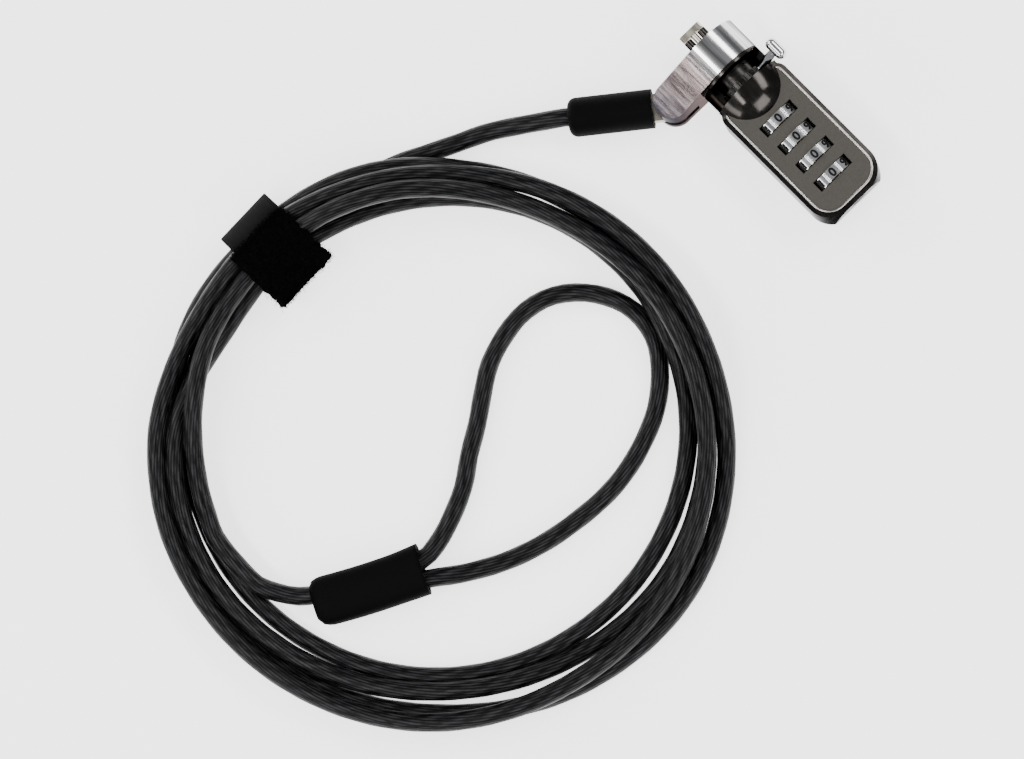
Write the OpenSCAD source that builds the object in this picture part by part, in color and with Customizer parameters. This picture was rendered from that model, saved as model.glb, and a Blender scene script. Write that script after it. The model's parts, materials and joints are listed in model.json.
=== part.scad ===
// Combination cable lock. Millimetres, +Z up, z = 0 is the surface that the lock lies on.
// The origin is under the lock's axis, 0.9 mm towards the bolt from the middle of the number wheels.
// +X runs along the lock's axis to the T-shaped bolt, and +Y towards the cable.

/* [Housing] */
// Length of the flat-faced slab, from its closed end to the lever slot
slab_l = 37.3; // [37:0.1:37.6]
// Width of the slab
slab_w = 19.5; // [19:0.1:20]
// Height of the slab's face
slab_h = 13.6; // [13.4:0.1:13.8]
// Plan radius of the two corners at the closed end
end_corner_r = 6.2; // [5.5:0.1:6.5]
// Radius of the barrel and the collar, which is also the height of the lock's axis
barrel_r = 8.5; // [8.4:0.05:8.6]

/* [Number wheels] */
// Number of wheels
wheel_count = 4; // [4:1:4]
// Distance from one wheel to the next
wheel_pitch = 6; // [5.9:0.05:6.1]
// Radius of a wheel
wheel_r = 6; // [5.9:0.05:6.1]
// Width of a wheel
wheel_w = 2.6; // [2.4:0.1:2.8]
// Window in the face, along the lock and across it
window = [3, 9.9]; // [3:0.1:10]

/* [Lever and bolt] */
// Width of the lever slot along the axis
lever_slot_w = 5.2; // [5:0.1:5.4]
// How far the lever pushes the bolt out
push_travel = 2.2; // [1.8:0.1:2.2]
// Angle of the lever at rest, from +Y over the top
lever_angle = 150; // [145:1:155]
// Length of the lever's capsule
lever_cap_l = 5.8; // [5:0.1:6.5]
// T head: thickness, width and height
t_head = [1.5, 6, 2.4]; // [1:0.1:6.5]

/* [Collar] */
// Length of the swivel collar
collar_l = 8.5; // [8:0.1:8.5]
// Distance from the lock's axis to the clevis pin
pin_y = 14.65; // [14.4:0.05:15]
// Slope of the arm's top face
arm_slope = 20; // [18:1:22]

/* [Cable] */
// Cable diameter
cable_d = 4.5; // [4.4:0.1:4.6]
// Direction of the cable from the clevis pin, from +X, where 51.4 is the pose it was drawn in
cable_angle = 51.4; // [47:0.1:54]
// Outer radius of the coil
coil_r = 70.5; // [70:0.5:72]
// Inner radius of the coil
coil_inner_r = 51.5; // [51:0.5:53]
// Height of the coil
coil_h = 9.2; // [9:0.1:9.4]

/* [Hidden] */
$fn = 96;

axis_z = barrel_r;
run = 0.06;                           // radial clearance of a running fit
eps = 0.5;                            // how far a cut runs past a face
wheels_x = -0.9;                      // middle of the row of wheels
first_wheel_x = wheels_x - wheel_pitch * (wheel_count - 1) / 2;

// Stations along the axis
end_x = -18.4;
slot_x = end_x + slab_l;
lip_x = slot_x + lever_slot_w;        // front edge of the lever slot
collar_x = lip_x + 0.9;
nose_x = collar_x + collar_l;
bolt_x = nose_x + 3.9;                // rear face of the T head

// Slab
side_corner_r = 3;
base_edge_r = 2.4;
face_bevel = 1;
end_draft = 7;                        // lean of the closed end's face, inwards to the base
plate_inset = 1.3;
plate_t = 0.8;
dome_r = 11.1;
dome_z = 2 * barrel_r - dome_r;       // the dome is as high as the barrel
cover_t = 1.2;
cavity = [24.2, 12.4];
cover_size = [32, 13];
cover_x = 0.3;
cover_corner_r = 3.6;
cover_screw_xy = [[-14, 3.4], [-14, -3.4], [13.9, 4.6], [13.9, -4.6]];

// Spindle, drum and springs
shaft_r = 1.6;
hub_r = 3.4;
hub_l = 4.6;
hub_inner_r = 2.7;
gate_t = 0.8;
fin = [0.8, 1, 2.5];
drum_r = 6.3;
drum_l = 4.6;
drum_x = slot_x - 2.5;
boss_r = 4.9;
boss_l = 3.5;
chamber_r = 6.7;
neck_r = 6.5;
neck_bore_r = 5.2;
post_r = 1;
post_foot_r = 1.12;
post_x = slot_x + 1.2;
lever_reach = 12.6;
cap_r = 1.4;
shank_r = 0.8;
lug_r = 1.05;
lug_y = 2.05;
reset_r = 2;

// Collar arm
arm_r = collar_l / 2;
pin_x = collar_x + arm_r;
pin_r = 1.5;
ear_slot = [3.2, 6.1];

// Cable fittings
cable_r = cable_d / 2;
boot_r = 4.65;
boot_span = [5, 25];
swage_span = [8.1, 20];
swage_r = 3.5;
eye_w = 6.5;
eye_t = 2.6;

// Cable route, drawn for a cable that leaves the pin at drawn_angle
drawn_angle = 49;
coil_centre = [14, 110];
sleeve_centre = [3.5, 145.3, 3.9];
sleeve_angle = 240.8;
sleeve_l = 27;
sleeve_r = 3.7;
ferrule_l = 16;
ferrule_r = 2.9;
lane = 2.3;                           // offset of each cable from the middle of the sleeve
lead_route = [
    [46.5, 34, 4.6], [50, 38.5, 4.2], [54, 43.5, 3.3], [58, 49, 2.6],
    [61.5, 55.5, 2.3], [64.8, 62.3, 2.25]];
tail_route = [
    [24, 163, 2.5], [19, 161.3, 2.6], [15, 158.9, 3.2], [12.1, 156, 3.8]];
loop_route = [
    [-1.1, 132.4, 3.7], [-1, 127, 2.8], [1, 120, 2.3], [4, 113, 2.25], [8, 107, 2.25],
    [12, 100, 2.25], [16, 94, 2.25], [19.5, 88, 2.25], [21.5, 81, 2.25], [22, 74, 2.25],
    [20, 67, 2.25], [15, 61, 2.25], [8, 57, 2.25], [1, 56, 2.25], [-6, 58, 2.25],
    [-12, 63, 2.25], [-16.5, 69, 2.25], [-19.5, 76, 2.25], [-21.5, 84, 2.25],
    [-22, 92, 2.25], [-21, 101, 2.25], [-19, 110, 2.25], [-15.5, 119, 2.4],
    [-10.5, 127.5, 2.9], [-5.1, 134.6, 3.7]];

// Strap round the coil
strap_lo = [63.4, 95.6, 0];
strap_hi = [86.2, 110.6, 10.6];
strap_inner_lo = [64.6, 95, 0.8];
strap_inner_hi = [85, 111, 9.4];
pile_lo = [63, 95.2, 10.6];
pile_hi = [81, 111.4, 12.8];

// A cylinder along the lock's axis
module along_x(r, x0, x1) {
    translate([x0, 0, axis_z]) rotate([0, 90, 0]) cylinder(r = r, h = x1 - x0);
}

// A tube along the lock's axis
module ring_x(outer, inner, x0, x1) {
    difference() {
        along_x(outer, x0, x1);
        along_x(inner, x0 - eps, x1 + eps);
    }
}

// A box given by its two corners
module block(lo, hi) {
    translate(lo) cube(hi - lo);
}

// Turns the drawn route about the clevis pin to the cable's own direction
module on_route() {
    translate([pin_x, pin_y, 0]) rotate([0, 0, cable_angle - drawn_angle])
        translate([-pin_x, -pin_y, 0]) children();
}

// Places its children on the cable's own line, with +X away from the clevis pin
module on_cable_line() {
    translate([pin_x, pin_y, boot_r]) rotate([0, 0, cable_angle]) children();
}

// Places its children on the loop sleeve, with +X towards the loop
module on_sleeve() {
    on_route() translate(sleeve_centre) rotate([0, 0, sleeve_angle]) children();
}

function unit(v) = v / norm(v);
function tangent(p, i) = unit(p[min(i + 1, len(p) - 1)] - p[max(i - 1, 0)]);

// A round bar swept along a list of points; up is any direction that the bar never points in
module swept_bar(points, r, sides, up = [0, 0, 1]) {
    rings = [for (i = [0:len(points) - 1])
        let (t = tangent(points, i), s = unit(cross(up, t)), u = cross(t, s))
        for (j = [0:sides - 1])
            points[i] + r * (cos(360 * j / sides) * s + sin(360 * j / sides) * u)];
    last = (len(points) - 1) * sides;
    walls = [for (i = [0:len(points) - 2], j = [0:sides - 1])
        let (a = i * sides + j, b = i * sides + (j + 1) % sides)
        [a, a + sides, b + sides, b]];
    caps = [[for (j = [0:sides - 1]) j], [for (j = [sides - 1:-1:0]) last + j]];
    polyhedron(points = rings, faces = concat(walls, caps), convexity = 4);
}

// A point on the drawn cable's line, d from the clevis pin
function cable_line(d) = [pin_x + d * cos(drawn_angle), pin_y + d * sin(drawn_angle), boot_r];

// A point in the sleeve: d along it towards the loop, side across it
function sleeve_point(d, side) = sleeve_centre
    + d * [cos(sleeve_angle), sin(sleeve_angle), 0]
    + side * [-sin(sleeve_angle), cos(sleeve_angle), 0];

// Half-section of the slab's edge, outwards from a corner's centre
module edge_profile(r) {
    intersection() {
        square([r, slab_h]);
        union() {
            translate([r - base_edge_r, base_edge_r]) circle(base_edge_r);
            square([r - base_edge_r, slab_h]);
            translate([0, base_edge_r]) square([r, slab_h - face_bevel - base_edge_r]);
            polygon([[0, slab_h - face_bevel], [r, slab_h - face_bevel],
                [r - face_bevel, slab_h], [0, slab_h]]);
        }
    }
}

module slab() {
    end_y = slab_w / 2 - end_corner_r;
    side_y = slab_w / 2 - side_corner_r;
    x0 = end_x + end_corner_r;
    x1 = slot_x - side_corner_r;
    translate([x0, 0, 0]) rotate([90, 0, 90]) linear_extrude(x1 - x0)
        for (s = [0, 1]) mirror([s, 0]) {
            square([side_y, slab_h]);
            translate([side_y, 0]) edge_profile(side_corner_r);
        }
    translate([x0, -end_y, 0]) rotate([90, 0, 180]) linear_extrude(2 * end_y)
        edge_profile(end_corner_r);
    translate([x1, side_y, 0]) rotate([90, 0, 0]) linear_extrude(2 * side_y)
        edge_profile(side_corner_r);
    for (s = [-1, 1]) {
        translate([x0, s * end_y, 0]) rotate_extrude() edge_profile(end_corner_r);
        translate([x1, s * side_y, 0]) rotate_extrude() edge_profile(side_corner_r);
    }
}

// What the lean of the closed end's face takes off below the bevel
module closed_end_slope() {
    translate([end_x - 0.05, 0, slab_h - face_bevel]) rotate([0, -end_draft, 0])
        translate([-5, -slab_w, -2 * slab_h]) cube([5, 2 * slab_w, 2 * slab_h]);
}

// Outline of the slab in plan, drawn in by inset
module slab_plan(inset) {
    end_y = slab_w / 2 - end_corner_r;
    side_y = slab_w / 2 - side_corner_r;
    x0 = end_x + end_corner_r;
    x1 = slot_x - side_corner_r;
    for (s = [-1, 1]) {
        translate([x0, s * end_y]) circle(end_corner_r - inset);
        translate([x1, s * side_y]) circle(side_corner_r - inset);
    }
    translate([x0, inset - slab_w / 2]) square([x1 - x0, slab_w - 2 * inset]);
    translate([end_x + inset, -end_y]) square([end_corner_r, 2 * end_y]);
    translate([x1 - eps, -side_y]) square([side_corner_r + eps - inset, 2 * side_y]);
}

module dome_ball() {
    translate([slot_x, 0, dome_z]) sphere(dome_r);
}

// Rounded hood over the drum, which rises out of the face
module dome() {
    intersection() {
        dome_ball();
        translate([slot_x - dome_r, -slab_w / 2, slab_h - 1.1]) cube([dome_r, slab_w, dome_r]);
    }
}

module cover_plan() {
    c = cover_corner_r;
    x = cover_size.x / 2 - c;
    y = cover_size.y / 2 - c;
    translate([cover_x, 0]) {
        for (sx = [-1, 1], sy = [-1, 1]) translate([sx * x, sy * y]) circle(c);
        square([cover_size.x, 2 * y], center = true);
        square([2 * x, cover_size.y], center = true);
    }
}

// The lever slot runs round the barrel from the arm's side to the lever's side
module lever_slot() {
    from_angle = 39;
    to_angle = 172;
    translate([slot_x, 0, axis_z]) rotate([0, 90, 0]) rotate([0, 0, from_angle + 90])
        rotate_extrude(angle = to_angle - from_angle)
            translate([chamber_r - eps, 0]) square([barrel_r - chamber_r + 2 * eps, lever_slot_w]);
}

module housing() {
    color([0.33, 0.31, 0.29]) difference() {
        union() {
            difference() {
                slab();
                translate([0, 0, slab_h - plate_t]) linear_extrude(plate_t + eps)
                    slab_plan(plate_inset);
                closed_end_slope();
            }
            dome();
            along_x(barrel_r, slot_x, lip_x + 0.5);
            along_x(neck_r, lip_x, nose_x - 0.95);
        }
        translate([wheels_x - cavity.x / 2, -cavity.y / 2, -eps])
            cube([cavity.x, cavity.y, slab_h - plate_t + eps]);
        translate([0, 0, -eps]) linear_extrude(cover_t + eps) cover_plan();
        along_x(reset_r + run, end_x - eps, end_x + 2.6);
        along_x(shaft_r + run, end_x + 2, drum_x);
        along_x(chamber_r, drum_x - 0.5, lip_x);
        along_x(neck_bore_r, lip_x - eps, nose_x);
        lever_slot();
        for (p = cover_screw_xy) translate([p.x, p.y, 0]) cylinder(r = 0.8, h = 5);
    }
}

module face_plate() {
    color([0.4, 0.39, 0.36]) difference() {
        translate([0, 0, slab_h - plate_t]) linear_extrude(plate_t) slab_plan(plate_inset);
        for (i = [0:wheel_count - 1])
            translate([first_wheel_x + i * wheel_pitch, 0, slab_h])
                cube([window.x, window.y, 4], center = true);
        dome_ball();
    }
}

module base_cover() {
    color([0.3, 0.29, 0.28]) difference() {
        linear_extrude(cover_t) cover_plan();
        for (p = cover_screw_xy) translate([p.x, p.y, 0]) {
            translate([0, 0, -eps]) cylinder(r = 0.8, h = 3);
            translate([0, 0, -eps]) cylinder(r = 1.5, h = 0.7 + eps);
        }
    }
}

module cover_screws() {
    color([0.6, 0.6, 0.62]) for (p = cover_screw_xy) translate([p.x, p.y, 0])
        difference() {
            union() {
                cylinder(r = 1.5, h = 0.7);
                cylinder(r = 0.8, h = 4.9);
            }
            cube([0.4, 4, 0.7], center = true);
        }
}

module nose_plug() {
    color([0.35, 0.34, 0.33]) difference() {
        union() {
            along_x(neck_bore_r - 0.02, nose_x - 2.2, nose_x);
            along_x(7.2, nose_x - 0.9, nose_x);
        }
        along_x(shank_r + run, nose_x - 3, nose_x + eps);
        for (s = [-1, 1]) translate([0, s * lug_y, 0]) along_x(lug_r, nose_x - 2, nose_x + eps);
    }
}

module lug_pins() {
    color([0.45, 0.44, 0.43]) for (s = [-1, 1]) translate([0, s * lug_y, 0])
        along_x(lug_r, nose_x - 2, bolt_x - 0.3);
}

module collar_washer() {
    color([0.15, 0.14, 0.13]) ring_x(8.25, neck_r, lip_x + 0.5, lip_x + 0.8);
}

// Washers that keep the hubs apart on the spindle
module hub_spacers() {
    gap = wheel_pitch - hub_l;
    color([0.7, 0.6, 0.35]) for (i = [1:wheel_count - 1]) {
        x = first_wheel_x + (i - 0.5) * wheel_pitch;
        ring_x(hub_r - 0.2, shaft_r + run, x - gap / 2 + 0.05, x + gap / 2 - 0.05);
    }
}

// A comb of four fingers that clicks into the wheels from below
module detent_spring() {
    leaf_t = 0.25;
    color([0.75, 0.76, 0.78]) {
        translate([wheels_x - 11, -6, cover_t]) cube([22, 1.6, leaf_t]);
        for (i = [0:wheel_count - 1])
            translate([first_wheel_x + i * wheel_pitch - 0.8, -4.5, cover_t])
                rotate([9, 0, 0]) cube([1.6, 5.2, leaf_t]);
    }
}

module push_spring() {
    wire_r = 0.25;
    coil_mean_r = 3.2;
    turns = 4.5;
    steps = 14;
    x0 = drum_x + drum_l + boss_l + 0.85 + wire_r;
    x1 = nose_x - 2.25 - wire_r;
    n = turns * steps;
    color([0.75, 0.76, 0.78]) swept_bar(
        [for (i = [0:n]) [x0 + (x1 - x0) * i / n,
            coil_mean_r * cos(360 * i / steps), axis_z + coil_mean_r * sin(360 * i / steps)]],
        wire_r, 6, [1, 0, 0]);
}

module push_bush() {
    x = drum_x + drum_l + boss_l + 0.05;
    color([0.75, 0.62, 0.35]) ring_x(neck_bore_r - run, shaft_r + run, x, x + 0.7);
}

module spindle_shaft() {
    color([0.7, 0.7, 0.72]) difference() {
        union() {
            along_x(shaft_r, end_x + 2.9, nose_x - 4.8);
            for (i = [0:wheel_count - 1])
                translate([first_wheel_x + i * wheel_pitch - 1.5, -fin.y / 2, axis_z + 1])
                    cube([fin.x, fin.y, fin.z - 1]);
        }
        along_x(shank_r, nose_x - 8.1, nose_x);
    }
}

module lever_drum() {
    rib_count = 24;
    groove_r = 0.35;
    color([0.1, 0.1, 0.1]) difference() {
        union() {
            along_x(drum_r, drum_x, drum_x + drum_l);
            along_x(boss_r, drum_x + drum_l, drum_x + drum_l + boss_l);
        }
        along_x(shaft_r, drum_x - eps, drum_x + drum_l + boss_l + eps);
        translate([0, 0, axis_z]) for (i = [0:rib_count - 1]) rotate([7.5 + 360 / rib_count * i, 0, 0])
            translate([drum_x - eps, drum_r + 0.05, 0]) rotate([0, 90, 0])
                cylinder(r = groove_r, h = drum_l + 2 * eps);
        lever_line() cylinder(r = post_r, h = drum_r);
    }
}

// Places its children on the lever's line, with +Z outwards from 3 mm off the axis
module lever_line() {
    translate([post_x, 0, axis_z]) rotate([lever_angle - 90, 0, 0]) translate([0, 0, 3]) children();
}

module lever_post() {
    color([0.8, 0.8, 0.82]) lever_line() {
        cylinder(r = post_r, h = lever_reach - 3.6);
        translate([0, 0, 6]) cylinder(r1 = post_foot_r, r2 = post_r, h = 2.2);
    }
}

module lever_cap() {
    straight = lever_cap_l - 2 * cap_r;
    color([0.85, 0.85, 0.87]) difference() {
        lever_line() translate([0, 0, lever_reach - 3]) {
            for (s = [-1, 1]) translate([s * straight / 2, 0, 0]) sphere(cap_r);
            translate([-straight / 2, 0, 0]) rotate([0, 90, 0]) cylinder(r = cap_r, h = straight);
        }
        lever_line() cylinder(r = post_r, h = lever_reach - 3.6);
    }
}

module t_bar() {
    color([0.78, 0.74, 0.62]) {
        along_x(shank_r, nose_x - 8.1, bolt_x + eps);
        translate([bolt_x, 0, axis_z]) rotate([90, 0, 90]) linear_extrude(t_head.x)
            difference() {
                square([t_head.y, t_head.z], center = true);
                for (sx = [-1, 1], sy = [-1, 1])
                    translate([sx * t_head.y / 2, sy * t_head.z / 2]) rotate(45)
                        square(0.6, center = true);
            }
    }
}

// Wheel 1 is next to the closed end
module number_wheel(i) {
    positions = 10;
    x = first_wheel_x + (i - 1) * wheel_pitch;
    color([0.82, 0.82, 0.84]) difference() {
        ring_x(wheel_r, hub_r, x - wheel_w / 2, x + wheel_w / 2);
        translate([x, 0, axis_z]) for (k = [0:positions - 1]) rotate([(k + 0.5) * 360 / positions, 0, 0])
            translate([-wheel_w / 2 - eps, 0, wheel_r + 0.15]) rotate([0, 90, 0])
                cylinder(r = 0.45, h = wheel_w + 2 * eps);
    }
}

// The gate lets the spindle's fin through when the wheel shows its own number
module code_hub(i) {
    x = first_wheel_x + (i - 1) * wheel_pitch;
    color([0.75, 0.62, 0.35]) difference() {
        along_x(hub_r, x - hub_l / 2, x + hub_l / 2);
        along_x(hub_inner_r, x - hub_l / 2 - eps, x - gate_t / 2);
        along_x(hub_inner_r, x + gate_t / 2, x + hub_l / 2 + eps);
        along_x(shaft_r + run, x - 1, x + 1);
        translate([x - 1, -0.7, axis_z]) cube([2, 1.4, hub_inner_r]);
    }
}

module reset_screw() {
    color([0.6, 0.6, 0.62]) difference() {
        along_x(reset_r, end_x + 0.9, end_x + 2.5);
        translate([end_x + 0.9, 0, axis_z]) cube([1.2, 5, 0.8], center = true);
    }
}

// Side view of the arm, from the collar to its tip
module arm_profile() {
    tip_y = pin_y + arm_r;
    touch = barrel_r * [sin(arm_slope), cos(arm_slope)];
    tip_top = axis_z + touch.y - (tip_y - touch.x) * tan(arm_slope);
    polygon([[0, 0.9], [tip_y, 0.9], [tip_y, tip_top], [touch.x, axis_z + touch.y], [0, axis_z + touch.y]]);
}

module swivel_collar() {
    color([0.72, 0.69, 0.69]) difference() {
        union() {
            along_x(barrel_r, collar_x, nose_x);
            intersection() {
                translate([collar_x, 0, 0]) rotate([90, 0, 90]) linear_extrude(collar_l) arm_profile();
                linear_extrude(2 * barrel_r) {
                    translate([collar_x, 0]) square([collar_l, pin_y]);
                    translate([pin_x, pin_y]) circle(arm_r);
                }
            }
        }
        along_x(neck_r + run, collar_x - eps, nose_x + eps);
        along_x(7.4, nose_x - 1, nose_x + eps);
        block([collar_x - eps, 10.6, ear_slot[0]], [nose_x + eps, 20, ear_slot[1]]);
        translate([pin_x, pin_y, 0]) cylinder(r = pin_r, h = 8.4);
    }
}

module clevis_pin() {
    color([0.6, 0.6, 0.62]) translate([pin_x, pin_y, 0.95]) cylinder(r = pin_r, h = 7.4);
}

module cable_eye() {
    color([0.78, 0.74, 0.62]) on_cable_line() {
        difference() {
            translate([0, 0, -eye_t / 2]) linear_extrude(eye_t) {
                circle(eye_w / 2);
                translate([0, -eye_w / 2]) square([8, eye_w]);
            }
            translate([0, 0, -eye_t]) cylinder(r = pin_r + run, h = 2 * eye_t);
        }
        translate([8, 0, 0]) rotate([0, 90, 0]) cylinder(r = cable_r - 0.05, h = 2.9);
    }
}

module swage() {
    color([0.75, 0.75, 0.77]) on_cable_line() translate([swage_span[0], 0, 0]) rotate([0, 90, 0])
        difference() {
            cylinder(r = swage_r, h = swage_span[1] - swage_span[0]);
            translate([0, 0, -eps]) cylinder(r = cable_r, h = 20);
        }
}

module cable_boot() {
    boot_l = boot_span[1] - boot_span[0];
    bore_l = swage_span[1] - boot_span[0];
    round_r = 2;
    color([0.04, 0.04, 0.045]) on_cable_line() translate([boot_span[0], 0, 0]) rotate([0, 90, 0])
        rotate_extrude() difference() {
            union() {
                square([boot_r, boot_l - round_r]);
                square([boot_r - round_r, boot_l]);
                translate([boot_r - round_r, boot_l - round_r]) circle(round_r);
            }
            square([swage_r + 0.05, bore_l]);
            square([cable_r, boot_l + eps]);
            translate([-boot_r, 0]) square([boot_r, boot_l]);
        }
}

module cable_lead() {
    color([0.12, 0.12, 0.13]) on_route()
        swept_bar(concat([cable_line(11), cable_line(18), cable_line(25)], lead_route), cable_r, 10);
}

module cable_coil() {
    color([0.12, 0.12, 0.13]) on_route() translate([coil_centre.x, coil_centre.y, 0]) rotate_extrude()
        translate([coil_inner_r, 0]) square([coil_r - coil_inner_r, coil_h]);
}

module cable_tail() {
    color([0.12, 0.12, 0.13]) on_route()
        swept_bar(concat(tail_route, [sleeve_point(-7, lane), sleeve_point(0, lane)]), cable_r, 10);
}

module cable_loop() {
    color([0.12, 0.12, 0.13]) on_route() swept_bar(
        concat([sleeve_point(0, lane), sleeve_point(7, lane)], loop_route,
            [sleeve_point(7, -lane), sleeve_point(0, -lane), sleeve_point(-6, -lane)]),
        cable_r, 10);
}

// Two cylinders side by side along the sleeve, with the space between them filled
module twin_bar(r, x0, x1) {
    translate([x0, 0, 0]) rotate([0, 90, 0]) {
        for (s = [-1, 1]) translate([0, s * lane, 0]) cylinder(r = r, h = x1 - x0);
        translate([-r, -lane, 0]) cube([2 * r, 2 * lane, x1 - x0]);
    }
}

// The two cable bores, from x0 to x1 along the sleeve
module lane_bores(x0, x1) {
    for (s = [-1, 1]) translate([x0, s * lane, 0]) rotate([0, 90, 0]) cylinder(r = cable_r, h = x1 - x0);
}

module loop_ferrule() {
    color([0.75, 0.75, 0.77]) on_sleeve() difference() {
        twin_bar(ferrule_r, -ferrule_l / 2, ferrule_l / 2);
        lane_bores(-ferrule_l / 2 - eps, ferrule_l / 2 + eps);
    }
}

// Plan of the sleeve, with two round corners where the single cable enters
module sleeve_plan() {
    corner_r = 3.2;
    half_w = lane + sleeve_r;
    x0 = corner_r - sleeve_l / 2;
    for (s = [-1, 1]) translate([x0, s * (half_w - corner_r)]) circle(corner_r);
    translate([-sleeve_l / 2, corner_r - half_w]) square([sleeve_l / 2, 2 * (half_w - corner_r)]);
    translate([x0, -half_w - eps]) square([sleeve_l - corner_r, 2 * half_w + 2 * eps]);
}

module loop_sleeve() {
    color([0.04, 0.04, 0.045]) on_sleeve() difference() {
        intersection() {
            twin_bar(sleeve_r, -sleeve_l / 2, sleeve_l / 2);
            translate([0, 0, -sleeve_r - eps]) linear_extrude(2 * sleeve_r + 2 * eps) sleeve_plan();
        }
        twin_bar(ferrule_r + 0.05, -ferrule_l / 2 - 0.05, ferrule_l / 2 + 0.05);
        lane_bores(0, sleeve_l / 2 + eps);
        translate([-sleeve_l / 2 - eps, lane, 0]) rotate([0, 90, 0]) cylinder(r = cable_r, h = 7);
    }
}

module strap_band() {
    color([0.13, 0.13, 0.14]) on_route() difference() {
        block(strap_lo, strap_hi);
        block(strap_inner_lo, strap_inner_hi);
    }
}

module strap_pile() {
    color([0.03, 0.03, 0.03]) on_route() block(pile_lo, pile_hi);
}

housing();
face_plate();
base_cover();
cover_screws();
nose_plug();
lug_pins();
collar_washer();
hub_spacers();
detent_spring();
push_spring();
push_bush();
spindle_shaft();
lever_drum();
lever_post();
lever_cap();
t_bar();
number_wheel(1);  // number_wheel_1
number_wheel(2);  // number_wheel_2
number_wheel(3);  // number_wheel_3
number_wheel(4);  // number_wheel_4
code_hub(1);  // code_hub_1
code_hub(2);  // code_hub_2
code_hub(3);  // code_hub_3
code_hub(4);  // code_hub_4
reset_screw();
swivel_collar();
clevis_pin();
cable_eye();
swage();
cable_boot();
cable_lead();
cable_coil();
cable_tail();
cable_loop();
loop_ferrule();
loop_sleeve();
strap_band();
strap_pile();
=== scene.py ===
import json
import math
import bpy
import numpy as np
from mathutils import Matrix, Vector


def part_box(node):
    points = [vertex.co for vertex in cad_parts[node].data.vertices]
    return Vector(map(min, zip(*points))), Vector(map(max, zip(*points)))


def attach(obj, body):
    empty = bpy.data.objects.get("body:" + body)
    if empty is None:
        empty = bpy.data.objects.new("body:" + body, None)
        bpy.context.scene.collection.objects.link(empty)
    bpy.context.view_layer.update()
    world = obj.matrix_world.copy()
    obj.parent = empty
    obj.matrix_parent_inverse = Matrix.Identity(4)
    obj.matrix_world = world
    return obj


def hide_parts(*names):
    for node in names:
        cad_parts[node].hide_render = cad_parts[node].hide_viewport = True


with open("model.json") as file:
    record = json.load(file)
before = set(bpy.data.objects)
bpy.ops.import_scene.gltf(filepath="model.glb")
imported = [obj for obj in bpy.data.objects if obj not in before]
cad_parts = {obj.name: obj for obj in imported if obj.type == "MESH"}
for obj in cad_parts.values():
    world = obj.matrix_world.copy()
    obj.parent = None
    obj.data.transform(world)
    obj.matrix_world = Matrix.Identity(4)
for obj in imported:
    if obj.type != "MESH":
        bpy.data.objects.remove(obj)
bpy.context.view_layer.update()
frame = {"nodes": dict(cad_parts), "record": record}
nodes = frame["nodes"]
MM = 0.001

# The cable, its coil and the camera were laid out for a cable that leaves the clevis pin at 49
# degrees. ROUTE_TURN turns them all about the pin to where the part has them.
PIN = np.array([29.25, 14.65, 0.0])
ROUTE_TURN = math.radians(2.4)


def turned(vector):
    """A direction, or a list of directions, turned by ROUTE_TURN about Z."""
    c, s = math.cos(ROUTE_TURN), math.sin(ROUTE_TURN)
    v = np.asarray(vector, float)
    return np.stack([v[..., 0] * c - v[..., 1] * s, v[..., 0] * s + v[..., 1] * c, v[..., 2]], axis=-1)


def on_route(points):
    """Points of the laid-out route, in millimetres, moved to their place in the part."""
    return turned(np.asarray(points, float) - PIN) + PIN


# ---------------------------------------------------------------- camera

VIEW_TILT = math.radians(11)          # from straight down, towards the lock's closed end
IMAGE_UP = Vector(turned((0.694, -0.720, 0)))
TARGET = Vector(on_route((12.5, 87.2, 5.0))) * MM
VIEW_DISTANCE = 1.15
MM_PER_PIXEL = 0.2333                 # at the target
IMAGE_WIDTH = 1024
SENSOR_WIDTH = 36.0


def make_camera():
    """Looks down at the lock and its cable from VIEW_DISTANCE."""
    back = Vector(turned((-math.sin(VIEW_TILT), 0, math.cos(VIEW_TILT))))
    up = (IMAGE_UP - back * IMAGE_UP.dot(back)).normalized()
    right = up.cross(back)
    data = bpy.data.cameras.new("camera")
    data.sensor_width = SENSOR_WIDTH
    data.lens = SENSOR_WIDTH * VIEW_DISTANCE / (MM_PER_PIXEL * MM * IMAGE_WIDTH)
    data.clip_end = 20
    camera = bpy.data.objects.new("camera", data)
    bpy.context.scene.collection.objects.link(camera)
    place = camera.matrix_world.copy()
    for row in range(3):
        place[row][0], place[row][1], place[row][2] = right[row], up[row], back[row]
        place[row][3] = (TARGET + back * VIEW_DISTANCE)[row]
    camera.matrix_world = place
    bpy.context.scene.camera = camera


make_camera()

# ---------------------------------------------------------------- mesh helpers


def add_mesh(name, points, faces, smooth=True):
    """A mesh object from points in metres; it is linked to the scene and has no material yet."""
    mesh = bpy.data.meshes.new(name)
    mesh.from_pydata([tuple(p) for p in points], [], faces)
    mesh.validate()
    mesh.polygons.foreach_set("use_smooth", [smooth] * len(mesh.polygons))
    piece = bpy.data.objects.new(name, mesh)
    bpy.context.scene.collection.objects.link(piece)
    return piece


def loft(rings, closed_ends=True):
    """Faces that join rings of equal size, each ring a closed outline."""
    size = len(rings[0])
    faces = []
    for i in range(len(rings) - 1):
        for j in range(size):
            a, b = i * size + j, i * size + (j + 1) % size
            faces.append((a, b, b + size, a + size))
    if closed_ends:
        last = (len(rings) - 1) * size
        faces.append(tuple(range(size - 1, -1, -1)))
        faces.append(tuple(range(last, last + size)))
    return faces


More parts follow.
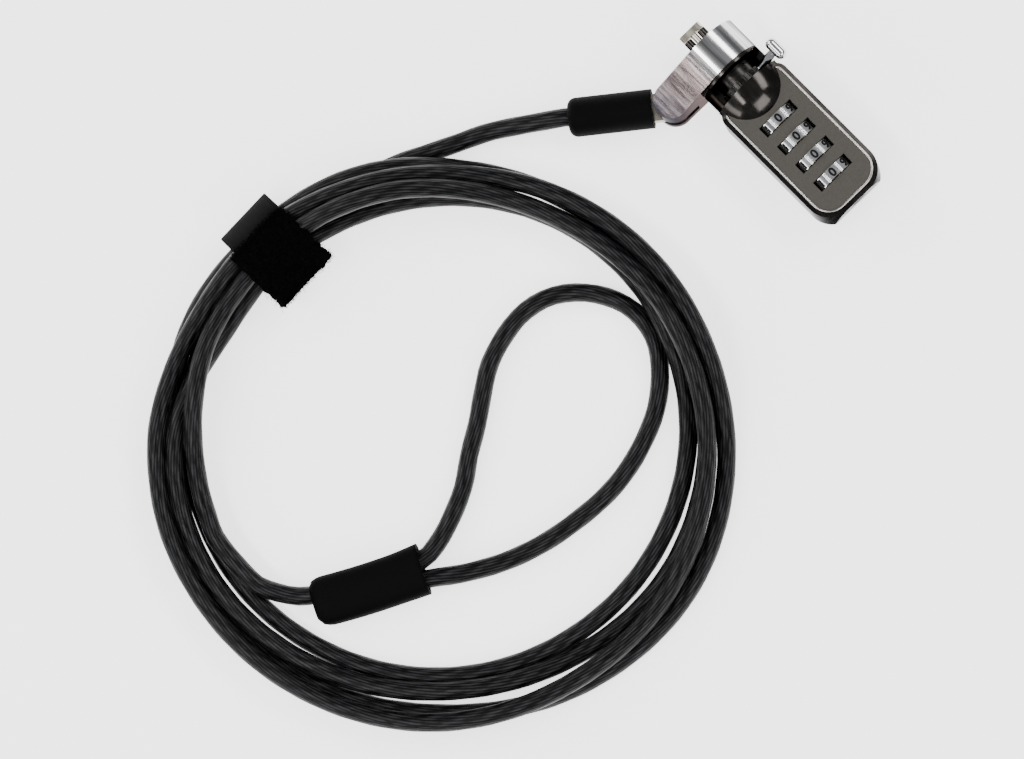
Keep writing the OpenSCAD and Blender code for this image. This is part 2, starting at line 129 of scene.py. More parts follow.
def uv_by_vertex(piece, uv):
    """Gives each corner the uv of its vertex, and keeps the seam of the round direction whole."""
    layer = piece.data.uv_layers.new(name="UVMap")
    for polygon in piece.data.polygons:
        values = [list(uv[piece.data.loops[k].vertex_index]) for k in polygon.loop_indices]
        if max(v[1] for v in values) - min(v[1] for v in values) > 0.5:
            for v in values:
                v[1] += 1.0 if v[1] < 0.5 else 0.0
        for k, v in zip(polygon.loop_indices, values):
            layer.data[k].uv = v


# ---------------------------------------------------------------- cable route, in millimetres

CABLE_D = 4.5
CABLE_R = CABLE_D / 2
CABLE_Z = 4.65
CABLE_ANGLE = math.radians(49)
SLEEVE_CENTRE = np.array([3.5, 145.3, 3.9])
SLEEVE_ANGLE = math.radians(240.8)
LANE = 2.3
COIL_CENTRE = np.array([14.2, 109.8])

LEAD_ROUTE = [
    (46.5, 34, 4.6), (50, 38.5, 4.2), (54, 43.5, 3.3), (58, 49, 2.6), (61.5, 55.5, 2.3)]
TAIL_ROUTE = [(24, 163, 2.5), (19, 161.3, 2.6), (15, 158.9, 3.2), (12.1, 156, 3.8)]
LOOP_ROUTE = [
    (-1.1, 132.4, 3.7), (-1, 127, 2.8), (1, 120, 2.3), (4, 113, 2.25), (8, 107, 2.25),
    (12, 100, 2.25), (16, 94, 2.25), (19.5, 88, 2.25), (21.5, 81, 2.25), (22, 74, 2.25),
    (20, 67, 2.25), (15, 61, 2.25), (8, 57, 2.25), (1, 56, 2.25), (-6, 58, 2.25),
    (-12, 63, 2.25), (-16.5, 69, 2.25), (-19.5, 76, 2.25), (-21.5, 84, 2.25),
    (-22, 92, 2.25), (-21, 101, 2.25), (-19, 110, 2.25), (-15.5, 119, 2.4),
    (-10.5, 127.5, 2.9), (-5.1, 134.6, 3.7)]

# Each turn of the coil: angle, radius, and its order in the stack, where a higher one lies on a lower.
COIL_TURNS = [
    [(-43, 69.7, -1), (-24, 65.2, -1), (-6, 62.9, -1), (16, 62.7, -1), (44, 60.3, 0), (74, 57.4, 0),
     (104, 54.9, 0), (134, 53.9, 0), (164, 54.2, 0), (194, 55.8, 0), (224, 57.8, 0),
     (254, 59.3, 0), (284, 59.6, 0)],
    [(-39, 59.0, 0), (-6, 58.8, 0), (16, 58.6, 0), (30, 60.8, 0.6), (44, 63.0, 1), (74, 61.9, 0.8),
     (104, 59.3, 0.3), (134, 57.5, 0.3), (164, 58.5, 0.2), (194, 61.2, 0.1), (224, 62.3, 0.1),
     (254, 63.0, 0.1), (284, 64.4, 0.1)],
    [(-39, 66.4, 0), (-24, 67.1, 0), (-6, 66.9, 0), (16, 67.0, 0), (44, 65.2, 0.2), (74, 64.3, 0.2),
     (104, 63.2, 0.2), (134, 62.5, 0.2), (164, 65.0, 0.2), (194, 67.4, 0.2), (224, 66.8, 0.3),
     (254, 65.8, 0.5), (284, 64.7, 0.8)],
    [(-39, 63.6, 1), (-6, 65.0, 1), (16, 65.0, 1), (44, 67.3, 1), (74, 66.4, 1), (104, 65.4, 1),
     (134, 64.8, 1), (164, 63.9, 1), (194, 63.8, 1.2), (224, 62.7, 1.2), (254, 61.4, 1.2),
     (284, 59.7, 1.2)],
    [(-39, 60.0, 1.2), (-6, 60.5, 1.2), (16, 60.2, 1.2), (30, 58.8, 1.2), (44, 58.2, 1.2),
     (67, 56.7, 1.2)],
]
STRAP_ANGLE = -6.4                    # where the strap holds the coil off the table, in degrees
STRAP_SPREAD = 12                     # how far to each side it does so, in degrees
STRAP_LIFT = 0.9
LOOP_ROOM = 50                        # the end loop lies inside this radius


def cable_line(distance):
    """A point on the cable's straight start, at that distance from the clevis pin."""
    direction = np.array([math.cos(CABLE_ANGLE), math.sin(CABLE_ANGLE), 0])
    return PIN + (0, 0, CABLE_Z) + distance * direction


def sleeve_point(along, side, up=0.0):
    """A point in the loop sleeve: along it towards the loop, and to one side."""
    c, s = math.cos(SLEEVE_ANGLE), math.sin(SLEEVE_ANGLE)
    return SLEEVE_CENTRE + np.array([along * c - side * s, along * s + side * c, up])


def catmull_rom(points, steps):
    """Points on a smooth curve through the given ones; a point may have any number of values."""
    points = [np.asarray(p, float) for p in points]
    ends = [2 * points[0] - points[1]] + points + [2 * points[-1] - points[-2]]
    out = []
    for a, b, c, d in zip(ends, ends[1:], ends[2:], ends[3:]):
        for k in range(steps):
            t = k / steps
            out.append(0.5 * (2 * b + (c - a) * t + (2 * a - 5 * b + 4 * c - d) * t ** 2
                              + (3 * b - a - 3 * c + d) * t ** 3))
    out.append(points[-1])
    return np.array(out)


def coil_points():
    """The coil's turns as x, y, z, order."""
    knots = [(360 * turn + angle, radius, order)
             for turn, lane in enumerate(COIL_TURNS) for angle, radius, order in lane]
    out = []
    for angle, radius, order in catmull_rom(knots, 4):
        x, y = COIL_CENTRE + radius * np.array([math.cos(math.radians(angle)),
                                                math.sin(math.radians(angle))])
        out.append((x, y, CABLE_R, order))
    return out


def resample(path, spacing):
    """The same line with evenly spaced points, measured in plan."""
    steps = np.linalg.norm(np.diff(path[:, :2], axis=0), axis=1)
    along = np.concatenate([[0], np.cumsum(steps)])
    even = np.linspace(0, along[-1], int(round(along[-1] / spacing)) + 1)
    return np.stack([np.interp(even, along, path[:, k]) for k in range(path.shape[1])], axis=1)


def smoothed(values, reach):
    """Values along the line, averaged over reach points each way."""
    kernel = np.hanning(2 * reach + 3)[1:-1]
    padded = np.concatenate([np.full(reach, values[0]), values, np.full(reach, values[-1])])
    return np.convolve(padded, kernel / kernel.sum(), mode="valid")


NEIGHBOUR = 12                        # stretches nearer than this along the cable can't cross
EASING = 5                            # the length over which the cable rises


def drape(path, spacing):
    """Lifts each stretch on to the ones that lie under it."""
    xy, base, order = path[:, :2], path[:, 2].copy(), path[:, 3]
    angle = np.degrees(np.arctan2(xy[:, 1] - COIL_CENTRE[1], xy[:, 0] - COIL_CENTRE[0]))
    radius = np.hypot(xy[:, 0] - COIL_CENTRE[0], xy[:, 1] - COIL_CENTRE[1])
    base += STRAP_LIFT * np.exp(-((angle - STRAP_ANGLE) / STRAP_SPREAD) ** 2) * (radius > LOOP_ROOM)
    gap = np.linalg.norm(xy[:, None] - xy[None], axis=2)
    place = np.arange(len(xy))
    apart = np.abs(place[:, None] - place[None]) * spacing > NEIGHBOUR
    above, below = np.nonzero((gap < CABLE_D) & apart & (order[:, None] > order[None] + 0.02))
    rise = np.sqrt(CABLE_D ** 2 - gap[above, below] ** 2)
    reach = max(1, int(round(EASING / spacing)))
    z = base.copy()
    for _ in range(40):
        lifted = base.copy()
        np.maximum.at(lifted, above, z[below] + rise)
        eased = smoothed(lifted, reach)
        for _ in range(3):
            eased = smoothed(np.maximum(eased, lifted), reach)
        z = np.maximum(eased, base)
    path[:, 2] = z
    return path


def cable_path():
    """The cable's whole centreline in metres, from the swage in the boot round to the ferrule."""
    under, over = -1, 1.2
    start = [cable_line(d) for d in (11, 18, 25)]
    points = [(*p, under) for p in start] + [(*p, under) for p in LEAD_ROUTE]
    points += coil_points()
    points += [(*p, over) for p in TAIL_ROUTE]
    points += [(*sleeve_point(a, LANE), under) for a in (-7, 0, 7)]
    points += [(*p, under) for p in LOOP_ROUTE]
    points += [(*sleeve_point(a, -LANE), under) for a in (7, 0, -6)]
    spacing = 2.5
    path = resample(catmull_rom(points, 6), spacing)
    return on_route(drape(path, spacing)[:, :3]) * MM


def sweep(path, outline):
    """Rings of the outline along the path, with no twist. outline(distance) gives the ring's
    offsets across and up, in metres."""
    tangents = np.gradient(path, axis=0)
    tangents /= np.linalg.norm(tangents, axis=1)[:, None]
    across = np.cross(tangents[0], (0, 0, 1))
    across /= np.linalg.norm(across)
    along, rings = 0.0, []
    for i, (point, tangent) in enumerate(zip(path, tangents)):
        across = across - tangent * across.dot(tangent)
        across /= np.linalg.norm(across)
        up = np.cross(across, tangent)
        if i:
            along += np.linalg.norm(point - path[i - 1])
        rings.append([point + a * across + b * up for a, b in outline(along)])
    return rings, along


# ---------------------------------------------------------------- cable

STRANDS = 6
WIRES = 20
LAY = 0.052                           # metres in which a strand goes once round the rope


def make_cable(path):
    """The jacketed cable, with the faint ripple of the rope's strands under its skin."""
    sides, ripple = 30, 0.035 * MM
    radius = CABLE_R * MM - ripple

    def outline(along):
        ring = []
        for j in range(sides):
            a = 2 * math.pi * j / sides
            r = radius + ripple * math.cos(STRANDS * a - 2 * math.pi * STRANDS * along / LAY)
            ring.append((r * math.cos(a), r * math.sin(a)))
        return ring

    rings, length = sweep(path, outline)
    cable = add_mesh("cable", [p for ring in rings for p in ring], loft(rings))
    steps = np.concatenate([[0], np.cumsum(np.linalg.norm(np.diff(path, axis=0), axis=1))])
    uv_by_vertex(cable, [(s / LAY, j / sides) for s in steps for j in range(sides)])
    return cable, length


path = cable_path()
cable, cable_length = make_cable(path)
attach(cable, "cable")
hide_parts("cable_lead", "cable_coil", "cable_tail", "cable_loop")

# ---------------------------------------------------------------- materials


class Paint:
    """A procedural material: its Principled shader and short calls that add nodes to it."""

    def __init__(self, name, colour, metallic=0.0, roughness=0.5, **values):
        self.material = bpy.data.materials.new(name)
        self.material.use_nodes = True
        self.tree = self.material.node_tree
        self.shader = self.tree.nodes["Principled BSDF"]
        self.put("Base Color", (*colour, 1))
        self.put("Metallic", metallic)
        self.put("Roughness", roughness)
        for socket, value in values.items():
            self.put(socket.replace("_", " "), value)

    def put(self, socket, value):
        """Sets one value of the shader itself."""
        self.shader.inputs[socket].default_value = value

    def add(self, kind, **values):
        """A new node, with values for its sockets or its settings."""
        node = self.tree.nodes.new(kind)
        for key, value in values.items():
            if key in node.inputs:
                node.inputs[key].default_value = value
            else:
                setattr(node, key, value)
        return node

    def link(self, source, target):
        self.tree.links.new(source, target)
        return self

    def math(self, operation, a, b=None):
        """The result of a sum on outputs or numbers."""
        node = self.add("ShaderNodeMath", operation=operation)
        for socket, value in zip(node.inputs, (a, b)):
            if value is None:
                continue
            if isinstance(value, (int, float)):
                socket.default_value = value
            else:
                self.link(value, socket)
        return node.outputs[0]

    def place(self, scale=(1, 1, 1), coordinates="Object"):
        """Coordinates on the piece, stretched by scale."""
        source = self.add("ShaderNodeTexCoord").outputs[coordinates]
        mapping = self.add("ShaderNodeMapping", Scale=scale)
        self.link(source, mapping.inputs["Vector"])
        return mapping.outputs["Vector"]

    def noise(self, scale, detail=3.0, stretch=(1, 1, 1), coordinates="Object"):
        node = self.add("ShaderNodeTexNoise", Scale=scale, Detail=detail)
        self.link(self.place(stretch, coordinates), node.inputs["Vector"])
        return node.outputs["Fac"]

    def ramp(self, source, low, high, start=0.3, end=0.7):
        """A colour between low and high as source goes from start to end."""
        node = self.add("ShaderNodeValToRGB")
        first, second = node.color_ramp.elements
        first.position, second.position = start, end
        first.color = (*low, 1) if len(low) == 3 else low
        second.color = (*high, 1) if len(high) == 3 else high
        self.link(source, node.inputs["Fac"])
        return node.outputs["Color"]

    def grey(self, source, low, high, start=0.3, end=0.7):
        return self.ramp(source, (low,) * 3, (high,) * 3, start, end)

    def colour(self, output):
        return self.link(output, self.shader.inputs["Base Color"])

    def roughness(self, output):
        return self.link(output, self.shader.inputs["Roughness"])

    def bump(self, height, strength, distance):
        node = self.add("ShaderNodeBump", Strength=strength, Distance=distance)
        self.link(height, node.inputs["Height"])
        self.link(node.outputs["Normal"], self.shader.inputs["Normal"])
        return self


def polished_metal(name, low, high, roughness, edge=0.55):
    """Plated metal: a slow change of tint, fine polishing marks and a little wear in the gloss.
    edge is how bright it stays where it is seen at a low angle."""
    paint = Paint(name, high, metallic=1.0, roughness=roughness, Specular_Tint=(edge, edge, edge, 1))
    paint.colour(paint.ramp(paint.noise(160, 2), low, high, 0.35, 0.65))
    marks = paint.noise(900, 4, (0.08, 1, 1))
    paint.roughness(paint.grey(marks, roughness * 0.6, roughness * 1.7))
    paint.bump(marks, 0.04, 0.0001)
    return paint.material


def collar_plate():
    """Polished plating, pinker on the arm: streaked along the ring's axis, partly by polishing scratches
    and partly by painted reflections, and darker at its tip, where the darkening is a painted
    reflection.
    """
    paint = Paint("collar_metal", (0.5, 0.45, 0.45), metallic=1.0, roughness=0.12,
                  Specular_Tint=(0.2, 0.2, 0.2, 1))
    split = paint.add("ShaderNodeSeparateXYZ")
    paint.link(paint.place(), split.inputs[0])
    ring_edge = 4.5 * MM              # the ring's top has scratches and painted reflection streaks up to here, and the arm hasn't
    per_metre = 43                    # the ramp of tint and painted tip shade covers 23 mm from the axis to the arm's tip
    blotch = paint.math("MULTIPLY", paint.noise(260, 3), 0.008)
    reach = paint.math("ADD", split.outputs["Y"], blotch)
    tint = paint.add("ShaderNodeValToRGB")
    # The ramp's pale end and pinker middle are the plating's tint; its near-black end is painted shade
    # that stands in for the reflection at the arm's tip.
    ring_end, painted_shade_tip = tint.color_ramp.elements
    ring_end.position, ring_end.color = 0.0, (0.70, 0.70, 0.71, 1)
    painted_shade_tip.position, painted_shade_tip.color = 1.0, (0.13, 0.125, 0.16, 1)
    for position, colour in ((0.30, (0.66, 0.65, 0.65, 1)), (0.42, (0.50, 0.40, 0.39, 1)),
                             (0.72, (0.34, 0.28, 0.28, 1))):
        tint.color_ramp.elements.new(position).color = colour
    paint.link(paint.math("MULTIPLY", reach, per_metre), tint.inputs["Fac"])
    # Axial streaks on the ring, multiplied into its colour: partly polishing scratches, partly painted
    # reflections.
    scratch_and_reflection_streaks = paint.noise(700, 2, (0.04, 1, 1))
    scratch_and_reflection_colour = paint.grey(scratch_and_reflection_streaks, 0.42, 1.0, 0.42, 0.56)
    on_ring = paint.math("LESS_THAN", split.outputs["Y"], ring_edge)
    mix = paint.add("ShaderNodeMix", data_type="RGBA", blend_type="MULTIPLY")
    paint.link(on_ring, mix.inputs[0]).link(tint.outputs["Color"], mix.inputs[6])
    paint.link(scratch_and_reflection_colour, mix.inputs[7]).colour(mix.outputs[2])
    marks = paint.noise(900, 4, (0.08, 1, 1))
    paint.roughness(paint.grey(marks, 0.07, 0.2)).bump(marks, 0.06, 0.0001)
    return paint.material


def lacquered_plate():
    """The matt grey plate in the lock's face: a fine satin grain."""
    paint = Paint("plate_metal", (0.05, 0.046, 0.040), roughness=0.6, Specular_IOR_Level=0.2)
    grain = paint.noise(2600, 5)
    paint.colour(paint.ramp(grain, (0.052, 0.0475, 0.041), (0.064, 0.059, 0.051)))
    paint.roughness(paint.grey(grain, 0.52, 0.66))
    paint.bump(grain, 0.05, 0.00005)
    return paint.material


def plain_metal(name, colour, roughness):
    """Turned or stamped metal that isn't plated."""
    paint = Paint(name, colour, metallic=1.0, roughness=roughness)
    grain = paint.noise(1500, 4, (1, 0.1, 1))
    paint.colour(paint.ramp(grain, tuple(0.8 * c for c in colour), colour))
    paint.roughness(paint.grey(grain, roughness * 0.7, roughness * 1.3))
    paint.bump(grain, 0.08, 0.0001)
    return paint.material


def matt_rubber(name, colour):
    """Moulded or shrunk-on black sleeve: barely shiny, with a faint grain."""
    paint = Paint(name, colour, roughness=0.7, Specular_IOR_Level=0.06)
    grain = paint.noise(2200, 5)
    paint.colour(paint.ramp(grain, tuple(0.7 * c for c in colour), tuple(1.4 * c for c in colour)))
    paint.roughness(paint.grey(grain, 0.62, 0.78))
    paint.bump(grain, 0.15, 0.0001)
    return paint.material


def jacketed_rope():
    """Smoke-black clear jacket over a twisted steel rope: strands, and the wires in each strand."""
    paint = Paint("cable_jacket", (0.006, 0.006, 0.007), roughness=0.38, Specular_IOR_Level=0.13)
    split = paint.add("ShaderNodeSeparateXYZ")
    paint.link(paint.add("ShaderNodeTexCoord").outputs["UV"], split.inputs[0])
    along, round_ = split.outputs["X"], split.outputs["Y"]

    def wave(per_turn, per_lay):
        phase = paint.math("SUBTRACT", paint.math("MULTIPLY", round_, 2 * math.pi * per_turn),
                           paint.math("MULTIPLY", along, 2 * math.pi * per_lay))
        return paint.math("MULTIPLY_ADD", paint.math("SINE", phase), 0.5)

    strands = wave(STRANDS, STRANDS)
    wires = wave(WIRES, -WIRES / 4)
    flecks = paint.noise(1.0, 2, (16, 20, 1), "UV")
    pattern = paint.math("MULTIPLY", paint.math("ADD", wires, 0.5), flecks)
    pattern = paint.math("ADD", paint.math("MULTIPLY", pattern, 0.8),
                         paint.math("MULTIPLY", strands, 0.25))
    paint.colour(paint.ramp(pattern, (0.0003, 0.0003, 0.0004), (0.028, 0.028, 0.031), 0.42, 0.92))
    paint.bump(pattern, 0.7, 0.0001)
    return paint.material


def woven_nylon():
    """Flat woven tape: fine crossing yarns."""
    paint = Paint("strap_weave", (0.003, 0.003, 0.0032), roughness=0.9, Specular_IOR_Level=0.1)
    wave_x = paint.add("ShaderNodeTexWave", Scale=1150, Distortion=0.6)
    wave_y = paint.add("ShaderNodeTexWave", Scale=1150, Distortion=0.6, bands_direction="Y")
    for node in (wave_x, wave_y):
        paint.link(paint.place(), node.inputs["Vector"])
    yarns = paint.math("MULTIPLY", wave_x.outputs["Fac"], wave_y.outputs["Fac"])
    paint.colour(paint.ramp(yarns, (0.0015, 0.0015, 0.0016), (0.0075, 0.0075, 0.008), 0.0, 0.8))
    paint.bump(yarns, 0.6, 0.0002)
    return paint.material


def napped_pile():
    """Black loop pile, which swallows light."""
    paint = Paint("strap_pile", (0.001, 0.001, 0.001), roughness=1.0, Specular_IOR_Level=0.02)
    nap = paint.noise(1800, 6)
    paint.colour(paint.ramp(nap, (0.0008, 0.0008, 0.0009), (0.0026, 0.0026, 0.003)))
    paint.bump(nap, 1.0, 0.0005)
    return paint.material


def ink():
    """Dark filled numbers on the wheels."""
    paint = Paint("wheel_ink", (0.004, 0.004, 0.004), roughness=0.6, Specular_IOR_Level=0.1)
    worn = paint.noise(3000, 3)
    paint.colour(paint.ramp(worn, (0.002, 0.002, 0.002), (0.008, 0.008, 0.009)))
    return paint.material


MATERIALS = {
    "housing_metal": polished_metal("housing_metal", (0.03, 0.0275, 0.0255), (0.05, 0.046, 0.043),
                                    0.14, edge=0.06),
    "plate_metal": lacquered_plate(),
    "steel": plain_metal("steel", (0.55, 0.55, 0.57), 0.32),
    "dark_steel": plain_metal("dark_steel", (0.035, 0.033, 0.031), 0.3),
    "brass": plain_metal("brass", (0.72, 0.55, 0.27), 0.3),
    "chrome": polished_metal("chrome", (0.62, 0.62, 0.64), (0.78, 0.78, 0.80), 0.08),
    "nickel": polished_metal("nickel", (0.66, 0.60, 0.48), (0.80, 0.75, 0.64), 0.22),
    "collar_metal": collar_plate(),
    # A pale metal for the bead on the plate's edge: a painted highlight, far brighter than the housing
    # it sits in.
    "plate_edge_highlight_metal": polished_metal("plate_edge_highlight_metal", (0.42, 0.40, 0.38), (0.55, 0.53, 0.51), 0.12),
    "wheel_chrome": polished_metal("wheel_chrome", (0.66, 0.66, 0.68), (0.82, 0.82, 0.84), 0.12),
    "sleeve_rubber": matt_rubber("sleeve_rubber", (0.0008, 0.0008, 0.0009)),
    "cable_jacket": jacketed_rope(),
    "aluminium": plain_metal("aluminium", (0.7, 0.7, 0.72), 0.35),
    "strap_weave": woven_nylon(),
    "strap_pile": napped_pile(),
    "wheel_ink": ink(),
}


def finish_with(piece, slot):
    """Gives the piece the material of that slot and no other."""
    piece.data.materials.clear()
    piece.data.materials.append(MATERIALS[slot])


def paint_cad_nodes():
    """Every CAD node gets the material of the slot that the record names."""
    for part in frame["record"]["subparts"]:
        finish_with(nodes[part["node"]], part["material_slot"])


paint_cad_nodes()
finish_with(cable, "cable_jacket")

# ---------------------------------------------------------------- number wheels

AXIS_Z = 8.5 * MM
WHEEL_R = 6.0 * MM
DIGIT_STEP = math.radians(36)
DIGIT_SIZE = 3.0 * MM
DIGIT_BOLD = 0.11 * MM                # how much the strokes are widened on each side
INK_T = 0.02 * MM
INK_GAP = 0.01 * MM


def digit_mesh(text):
    """Corner points and faces of one upright digit, flat, centred on the origin."""
    curve = bpy.data.curves.new("digit", "FONT")
    curve.body = text
    curve.size = DIGIT_SIZE
    curve.offset = DIGIT_BOLD
    curve.extrude = INK_T
    curve.resolution_u = 3
    curve.align_x, curve.align_y = "CENTER", "CENTER"
    holder = bpy.data.objects.new("digit", curve)
    bpy.context.scene.collection.objects.link(holder)
    bpy.context.view_layer.update()
    mesh = bpy.data.meshes.new_from_object(holder.evaluated_get(bpy.context.evaluated_depsgraph_get()))
    points = np.array([v.co for v in mesh.vertices])
    faces = [tuple(p.vertices) for p in mesh.polygons]
    bpy.data.objects.remove(holder)
    bpy.data.meshes.remove(mesh)
    points[:, :2] -= (points[:, :2].min(axis=0) + points[:, :2].max(axis=0)) / 2
    return points, faces


def wheel_numbers(index, digits):
    """The ten numbers of a wheel, wrapped on to it, with their tops towards the bolt."""
    low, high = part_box(f"number_wheel_{index}")
    middle = (low.x + high.x) / 2
    points, faces = [], []
    for value, (flat, outline) in enumerate(digits):
        start = len(points)
        turn = math.pi / 2 - DIGIT_STEP * value
        for x, y, z in flat:
            a = turn + x / WHEEL_R
            r = WHEEL_R + z + INK_GAP
            points.append((middle + y, r * math.cos(a), AXIS_Z + r * math.sin(a)))
        faces += [tuple(start + k for k in face) for face in outline]
    numbers = add_mesh(f"numbers_{index}", points, faces, smooth=False)
    finish_with(numbers, "wheel_ink")
    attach(numbers, f"wheel_{index}")


digits = [digit_mesh(str(value)) for value in range(10)]
for index in range(1, 5):
    wheel_numbers(index, digits)

# ---------------------------------------------------------------- bright rim of the face plate: a painted highlight

RIM_R = 0.28
RIM_Z = 13.58


def rim_path():
    """The face plate's outline from one side of the dome round the closed end to the other."""
    half, end, corner = 8.45, -17.1, 4.9
    points = [(17.3, 7.75), (16.6, 8.3), (15.4, half)]
    points += [(x, half) for x in (10, 0, -8, end + corner)]
    for a in range(100, 181, 10):
        points.append((end + corner + corner * math.cos(math.radians(a)),
                       half - corner + corner * math.sin(math.radians(a))))
    points += [(x, -y) for x, y in reversed(points)]
    return np.array([(x, y, RIM_Z) for x, y in points]) * MM


def make_rim():
    """A thin polished bead between the plate and the housing's bevel, in a metal far paler than the
    housing's: a painted highlight along the plate's edge.
    """
    outline = [(RIM_R * MM * math.cos(a), RIM_R * MM * math.sin(a))
               for a in np.linspace(0, 2 * math.pi, 13)[:-1]]
    rings, _ = sweep(rim_path(), lambda along: outline)
    rim = add_mesh("plate_edge_highlight", [p for ring in rings for p in ring], loft(rings))
    finish_with(rim, "plate_edge_highlight_metal")
    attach(rim, "lock_body")


make_rim()

# ---------------------------------------------------------------- loop sleeve


def make_loop_sleeve():
    """The black sleeve round both cables: soft-edged, slightly bent, flared where the loop leaves."""
    sections, sides, length = 26, 40, 27.0
    rings = []
    for i in range(sections + 1):
        t = i / sections
        along = -length / 2 + length * t
        ease = min(1.0, t / 0.14)
        round_end = math.sqrt(max(0.0, 1 - (1 - ease) ** 2))
        half_w = (4.0 + 1.95 * round_end) + 0.25 * max(0, t - 0.75) * 4
        half_h = (2.4 + 1.35 * round_end)
        bend = 0.5 * (2 * t - 1) ** 2 - 0.3
        ring = []
        for j in range(sides):
            a = 2 * math.pi * j / sides
            c, s = math.cos(a), math.sin(a)
            x = math.copysign(abs(c) ** 0.75, c) * half_w + bend
            z = math.copysign(abs(s) ** 0.8, s) * half_h
            ring.append(sleeve_point(along, x, z))
        rings.append(ring)
    for depth, shrink in ((0.0, 0.86), (-2.0, 0.84)):
        ring = []
        for p in rings[sections]:
            centre = sleeve_point(length / 2 + depth, 0.2)
            edge = np.array(p) + sleeve_point(depth, 0) - sleeve_point(0, 0)
            ring.append(centre + (edge - centre) * shrink)
        rings.append(ring)
    points = on_route([p for ring in rings for p in ring]) * MM
    sleeve = add_mesh("loop_sleeve_skin", points, loft(rings))
    finish_with(sleeve, "sleeve_rubber")
    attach(sleeve, "cable")
    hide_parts("loop_sleeve")
    return sleeve


loop_sleeve = make_loop_sleeve()

# ---------------------------------------------------------------- strap

STRAP_Y = (95.4, 110.4)
TAPE_HALF_T = 0.48
TAPE_EDGE_HALF_T = 0.3
# The tape's middle surface round the coil, seen along the cable: x and height, in millimetres
TAPE_LINE = [
    (68.5, 0.5), (75, 0.5), (82, 0.5), (85, 1.7), (86.1, 4.2), (85.5, 7), (83.2, 9.9),
    (80, 12.0), (75, 12.7), (70.5, 12.0), (67.4, 9.4), (66.5, 5.5), (67, 2)]
# The top of the napped patch, from its edge on the tape to its hanging end
NAP_LINE = [(80.2, 12.9), (78, 13.9), (74, 14.4), (70, 13.6), (66.6, 11.4), (64.4, 8.6), (63.2, 6.2)]
NAP_T = 1.5


def line_normals(line, closed):
    """The outward normals of a line of x and height that runs anticlockwise."""
    if closed:
        steps = np.roll(line, -1, axis=0) - np.roll(line, 1, axis=0)
    else:
        steps = np.gradient(line, axis=0)
    steps /= np.linalg.norm(steps, axis=1)[:, None]
    return np.stack([steps[:, 1], -steps[:, 0]], axis=1)


def make_strap_tape():
    """Woven tape round the coil, with a thickness and slightly rounded edges."""
    line = catmull_rom(TAPE_LINE + [TAPE_LINE[0]], 5)[:-1]
    normals = line_normals(line, True)
    half = (STRAP_Y[1] - STRAP_Y[0]) / 2
    inner = half - 0.2
    edge = [(-half, TAPE_EDGE_HALF_T), (-inner, TAPE_HALF_T), (0, TAPE_HALF_T), (inner, TAPE_HALF_T),
            (half, TAPE_EDGE_HALF_T)]
    section = edge + [(y, -t) for y, t in reversed(edge)]
    middle = sum(STRAP_Y) / 2
    rings = [[(x + n[0] * t, middle + y, max(0.02, z + n[1] * t)) for y, t in section]
             for (x, z), n in zip(line, normals)]
    faces = loft(rings + [rings[0]], closed_ends=False)
    count = len(rings) * len(section)
    faces = [tuple(k % count for k in face) for face in faces]
    tape = add_mesh("strap_tape", on_route([p for ring in rings for p in ring]) * MM, faces)
    finish_with(tape, "strap_weave")
    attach(tape, "cable")
    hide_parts("strap_band")
    return tape


def nap_sheet(rng, across):
    """Rows of points on top of the patch and under it; the outline is ragged."""
    line = catmull_rom(NAP_LINE, 5)
    normals = line_normals(line, False)
    low, high = STRAP_Y[0] - 0.3, STRAP_Y[1] + 1.6
    rounding = 14                     # a higher value rounds a narrower rim
    top, bottom = [], []
    for i, ((x, z), n) in enumerate(zip(line, normals)):
        u = i / (len(line) - 1)
        left, right = rng.normal(0, 0.22, 2) * (0.3 + u)
        for j in range(across + 1):
            v = j / across
            rim = min(1.0, rounding * min(v, 1 - v), rounding * min(u + 0.03, 1.02 - u))
            y = (low + left) * (1 - v) + (high + right) * v
            lump = rng.normal(0, 0.07) + (rng.normal(0, 0.3) if u == 1 else 0)
            rise = NAP_T * (rim - 1) * 0.7 + lump
            top.append((x + n[0] * rise, y, z + n[1] * rise))
            bottom.append((x - n[0] * NAP_T, y, z - n[1] * NAP_T))
    return top, bottom, len(line) - 1


def make_strap_nap():
    """The napped patch: a lumpy pad with ragged edges, covered in short bent fibres."""
    rng = np.random.default_rng(7)
    across = 30
    top, bottom, rows = nap_sheet(rng, across)
    width, offset = across + 1, len(top)
    faces = []
    for i in range(rows):
        for j in range(across):
            a = i * width + j
            faces.append((a, a + width, a + width + 1, a + 1))
            faces.append((offset + a, offset + a + 1, offset + a + width + 1, offset + a + width))
    rim = ([(i, 0) for i in range(rows)] + [(rows, j) for j in range(across)]
           + [(i, across) for i in range(rows, 0, -1)] + [(0, j) for j in range(across, 0, -1)])
    for (i, j), (k, m) in zip(rim, rim[1:] + rim[:1]):
        a, b = i * width + j, k * width + m
        faces.append((a, offset + a, offset + b, b))
    points = top + bottom
    add_fibres(points, faces, rng, np.array(top))
    nap = add_mesh("strap_nap", on_route(points) * MM, faces)
    finish_with(nap, "strap_pile")
    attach(nap, "cable")
    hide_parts("strap_pile")
    return nap


FIBRE_COUNT = 3200
FIBRE_R = 0.055


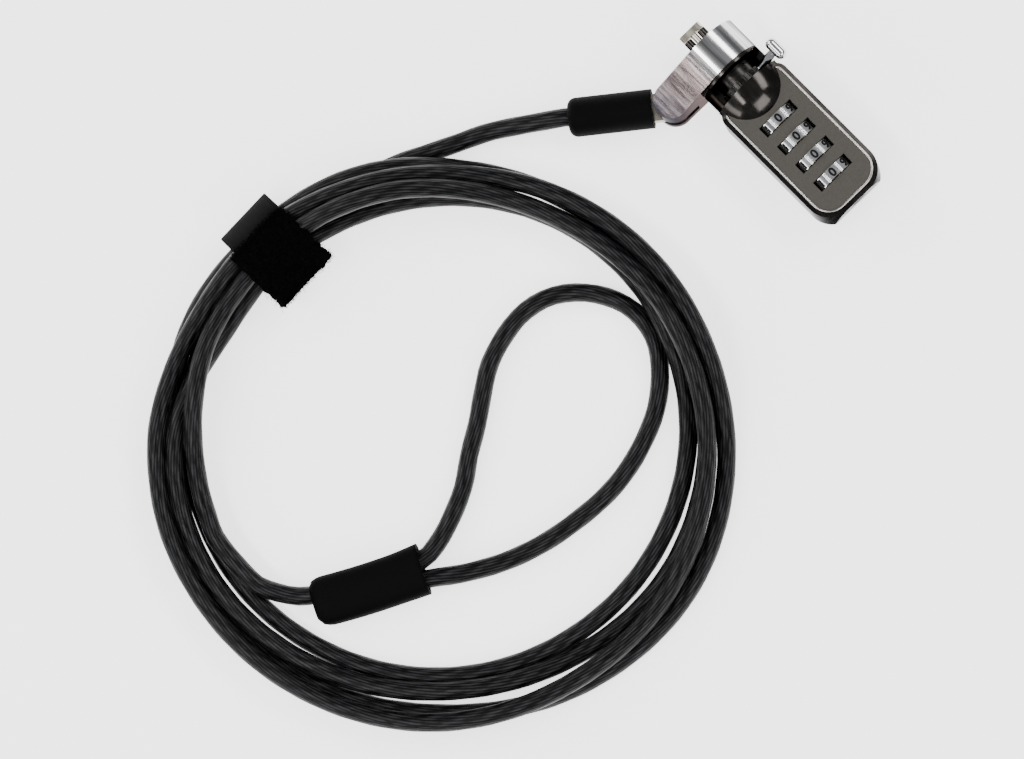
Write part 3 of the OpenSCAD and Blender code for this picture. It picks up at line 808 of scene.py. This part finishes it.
def add_fibres(points, faces, rng, top):
    """Short bent fibres, each a thin three-sided spike, which lean out near the edges."""
    centre = top.mean(axis=0)
    for _ in range(FIBRE_COUNT):
        root = top[rng.integers(len(top))] + rng.normal(0, 0.25, 3) * (1, 1, 0)
        outward = (root - centre) * (1, 1, 0)
        far = np.linalg.norm(outward)
        lean = outward / (far + 1e-9) * min(1, far / 9) ** 3
        direction = lean * 0.9 + rng.normal(0, 0.45, 3) + (0, 0, 0.5)
        direction /= np.linalg.norm(direction)
        length = rng.uniform(0.3, 1.0)
        side = np.cross(direction, rng.normal(0, 1, 3))
        side *= FIBRE_R / np.linalg.norm(side)
        other = np.cross(direction, side)
        middle = root + direction * length * 0.6
        tip = root + direction * length + rng.normal(0, 0.16, 3)
        start = len(points)
        points += [root + side, root - side / 2 + other, root - side / 2 - other,
                   middle + side * 0.8, middle - side * 0.4 + other * 0.8,
                   middle - side * 0.4 - other * 0.8, tip]
        for a, b in ((0, 1), (1, 2), (2, 0)):
            faces.append((start + a, start + b, start + b + 3, start + a + 3))
            faces.append((start + a + 3, start + b + 3, start + 6))


strap_tape = make_strap_tape()
strap_nap = make_strap_nap()

# ---------------------------------------------------------------- floor and light


def make_floor():
    """A plain pale floor. It gives off light of its own, which makes it paler and its shadows weaker."""
    size = 3.0
    floor = add_mesh("floor", [(-size, -size, 0), (size, -size, 0), (size, size, 0), (-size, size, 0)],
                     [(0, 1, 2, 3)])
    paint = Paint("floor", (0.93, 0.93, 0.93), roughness=0.9, Specular_IOR_Level=0.1,
                  Emission_Color=(1, 1, 1, 1), Emission_Strength=2.0)
    paint.colour(paint.grey(paint.noise(3, 2), 0.92, 0.94))
    floor.data.materials.append(paint.material)


def add_light(name, place, size, power, target):
    """A rectangular light at place that faces target."""
    data = bpy.data.lights.new(name, "AREA")
    data.shape = "RECTANGLE"
    data.size, data.size_y = size
    data.energy = power
    light = bpy.data.objects.new(name, data)
    bpy.context.scene.collection.objects.link(light)
    light.location = place
    aim = target - place
    light.rotation_euler = aim.to_track_quat("-Z", "Y").to_euler()


def make_world():
    """A dim, even light from all round."""
    world = bpy.data.worlds.new("world")
    bpy.context.scene.world = world
    world.use_nodes = True
    background = world.node_tree.nodes["Background"]
    background.inputs["Color"].default_value = (0.97, 0.98, 1.0, 1)
    background.inputs["Strength"].default_value = 0.32


def add_softbox(name, azimuth, elevation, size, radiance, distance=1.4):
    """A soft box that faces the middle of the part; azimuth is from +X towards +Y, both in degrees."""
    a, e = math.radians(azimuth), math.radians(elevation)
    centre = Vector((0.012, 0.06, 0.0))
    direction = Vector((math.cos(a) * math.cos(e), math.sin(a) * math.cos(e), math.sin(e)))
    power = radiance * math.pi * size[0] * size[1]
    add_light(name, centre + direction * distance, size, power, centre)


make_floor()
make_world()
add_softbox("near_arm", 82, 62, (1.3, 0.22), 12)
add_softbox("far_side", -98, 50, (1.1, 0.4), 8)
add_softbox("closed_end", 185, 38, (0.9, 0.6), 5)
add_softbox("bolt_end", 15, 38, (0.9, 0.6), 5)
add_softbox("low_arm", 95, 25, (1.2, 0.35), 5)
